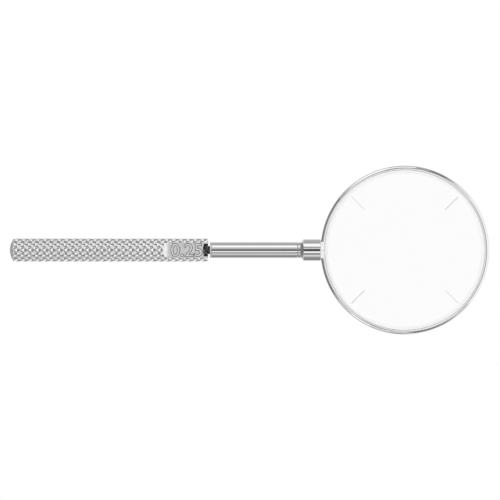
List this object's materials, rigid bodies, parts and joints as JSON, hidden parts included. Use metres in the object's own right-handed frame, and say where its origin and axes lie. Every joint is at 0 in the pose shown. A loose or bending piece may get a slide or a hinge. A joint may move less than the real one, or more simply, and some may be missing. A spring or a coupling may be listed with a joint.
{
  "type": "flip cross test lens",
  "caption": "Hand-held crossed-cylinder test lens: a clear round lens with axis marks in a thin metal rim, on a polished shank with a long knurled grip.",
  "frame": {"origin": "centre of the lens, halfway between the rim's front and back faces", "axes": "+X from the grip to the lens, along the handle; +Z along the optical axis, towards the side with the axis marks and the grip's pad"},
  "size_m": [0.1079, 0.038, 0.0052],
  "materials": {
    "knurled_nickel": "satin",
    "polished_chrome": "polished",
    "rim_chrome": "polished",
    "bright_steel": "satin",
    "clear_glass": "polished",
    "dark_enamel": "matte",
    "pale_enamel": "matte"
  },
  "bodies": {
    "lens_head": {"shank": "polished_chrome", "grip_stud": "bright_steel", "ferrule": "polished_chrome", "rim": "rim_chrome", "upper_rim_block": "rim_chrome", "lower_rim_block": "rim_chrome", "lens": "clear_glass", "plus_axis_marks": "dark_enamel", "minus_axis_marks": "pale_enamel"},
    "travel_washer": {"washer": "polished_chrome"},
    "handle_grip": {"grip": "knurled_nickel"},
    "lock": {"lock_screw": "bright_steel"}
  },
  "joints": [
    {"name": "grip_travel", "type": "slide", "parent": "lens_head", "child": "travel_washer", "axis": [-1, 0, 0], "range_m": [0, 0.0032]},
    {"name": "grip_turn", "type": "hinge", "parent": "travel_washer", "child": "handle_grip", "pos_m": [-0.0665, 0, 0], "axis": [-1, 0, 0], "range_deg": [0, 2880]},
    {"name": "lock_screw_turn", "type": "hinge", "parent": "lens_head", "child": "lock", "pos_m": [-0.0211, 0.002, 0], "axis": [0, 1, 0], "range_deg": [0, 360]}
  ],
  "couplings": [
    {"joint": "grip_turn", "follows": "grip_travel", "rad_per_m": 15708}
  ]
}
